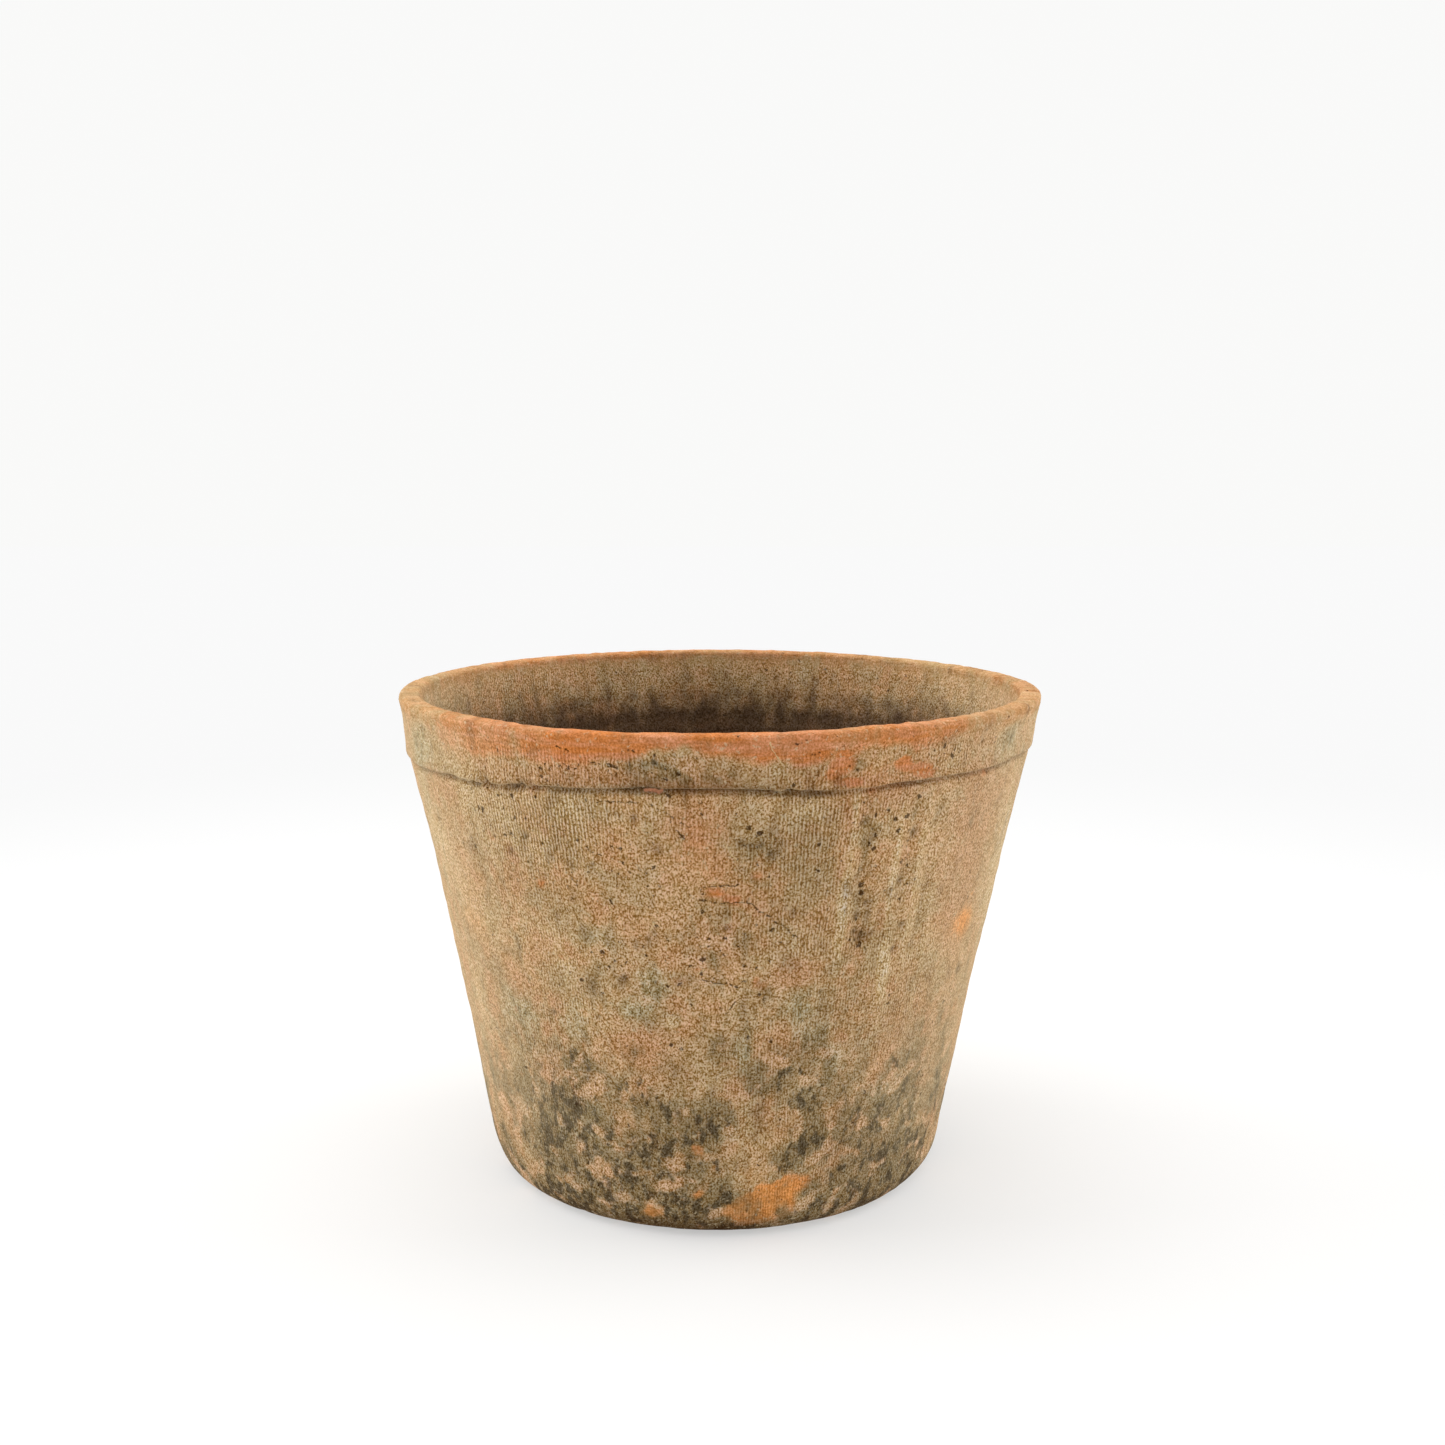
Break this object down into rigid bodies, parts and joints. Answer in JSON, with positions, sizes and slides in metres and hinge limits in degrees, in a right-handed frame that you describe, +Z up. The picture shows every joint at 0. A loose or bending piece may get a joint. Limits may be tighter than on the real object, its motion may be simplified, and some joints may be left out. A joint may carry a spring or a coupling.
{
  "type": "terracotta flower pot",
  "caption": "Round tapered clay flower pot with a rim band and a drain hole, holding loose potsherd crocks on its floor.",
  "frame": {"origin": "centre of the pot's base, on the ground plane", "axes": "+Z up along the pot's axis, -Y towards the front of the pot as it is seen, +X to the right"},
  "size_m": [0.15, 0.15, 0.1135],
  "materials": {
    "aged_terracotta": "unglazed, rough, weathered with lime bloom, soil stains and moss",
    "broken_terracotta": "unglazed, rough, fractured at the edges"
  },
  "bodies": {
    "pot": {"pot": "aged_terracotta"},
    "crock_over_hole": {"crock_over_hole": "broken_terracotta"},
    "crock_right": {"crock_right": "broken_terracotta"},
    "crock_front": {"crock_front": "broken_terracotta"}
  },
  "joints": [
    {"name": "lift_crock_over_hole", "type": "slide", "parent": "pot", "child": "crock_over_hole", "axis": [0, 0, 1], "range_m": [0, 0.125]},
    {"name": "lift_crock_right", "type": "slide", "parent": "pot", "child": "crock_right", "axis": [0, 0, 1], "range_m": [0, 0.125]},
    {"name": "lift_crock_front", "type": "slide", "parent": "pot", "child": "crock_front", "axis": [0, 0, 1], "range_m": [0, 0.125]}
  ]
}
